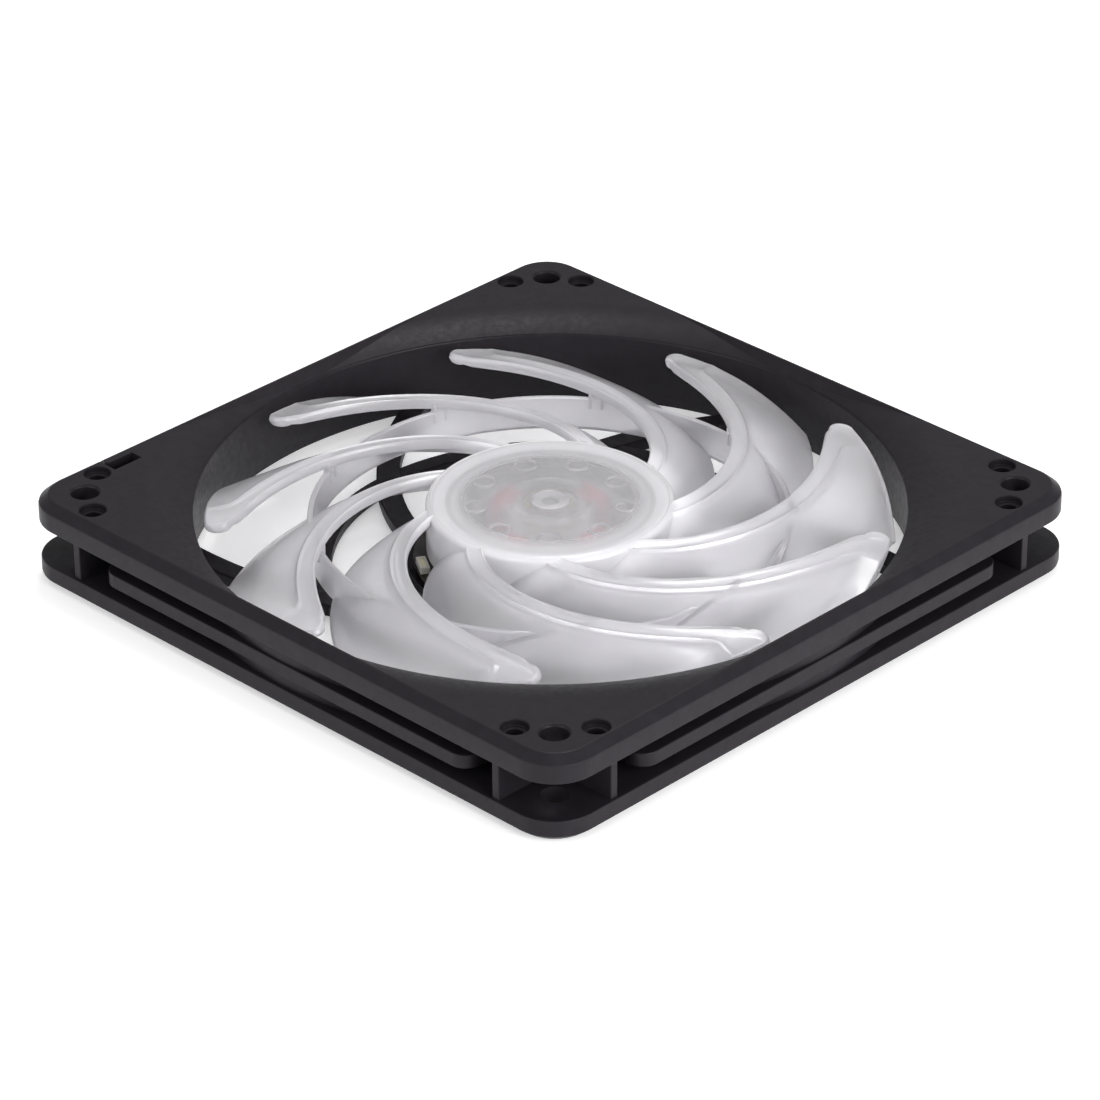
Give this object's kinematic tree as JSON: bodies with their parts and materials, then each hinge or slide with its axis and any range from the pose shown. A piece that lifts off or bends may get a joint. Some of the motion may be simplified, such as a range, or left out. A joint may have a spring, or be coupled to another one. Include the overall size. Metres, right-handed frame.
{
  "type": "case fan",
  "caption": "Slim square computer case fan with a frosted clear impeller, swept blades joined by a ring, black frame and internal brushless motor.",
  "frame": {"origin": "centre of the outlet (bottom) face of the frame, on the rotor axis", "axes": "+Z along the rotor axis towards the intake side; +X and +Y parallel to the frame's sides, the cable notch is on the -X side near the -Y corner"},
  "size_m": [0.12, 0.12, 0.015],
  "materials": {
    "black_moulding": "satin, fine moulded texture",
    "frosted_moulding": "frosted translucent",
    "electrical_steel": "dull",
    "ground_steel": "ground bright",
    "enamelled_copper": "enamelled wire",
    "brass": "turned",
    "sintered_bronze": "porous, oiled",
    "white_nylon": "matt",
    "ferrite": "matt bonded ferrite",
    "board_laminate": "dark solder mask",
    "chip_package": "matt epoxy",
    "ceramic": "matt",
    "led_package": "white package with cream phosphor",
    "blank_label": "plain foil label"
  },
  "bodies": {
    "housing": {"frame": "black_moulding", "rear_label": "blank_label", "bearing_tube": "brass", "thrust_pad": "white_nylon", "sleeve_bearing": "sintered_bronze", "retaining_washer": "white_nylon", "stator_core": "electrical_steel", "lower_insulator": "white_nylon", "upper_insulator": "white_nylon", "coil_1": "enamelled_copper", "coil_2": "enamelled_copper", "coil_3": "enamelled_copper", "coil_4": "enamelled_copper", "circuit_board": "board_laminate", "motor_driver_chip": "chip_package", "hall_sensor": "chip_package", "led_driver_chip": "chip_package", "capacitor_1": "ceramic", "capacitor_2": "ceramic", "resistor_1": "chip_package", "led_1": "led_package", "led_2": "led_package", "led_3": "led_package", "led_4": "led_package", "led_5": "led_package", "led_6": "led_package"},
    "rotor": {"impeller": "frosted_moulding", "rotor_yoke": "electrical_steel", "magnet_ring": "ferrite", "shaft_bush": "white_nylon", "shaft": "ground_steel"}
  },
  "joints": [
    {"name": "rotor_spin", "type": "hinge", "parent": "housing", "child": "rotor", "pos_m": [0, 0, 0.008], "axis": [0, 0, 1], "continuous": true}
  ]
}
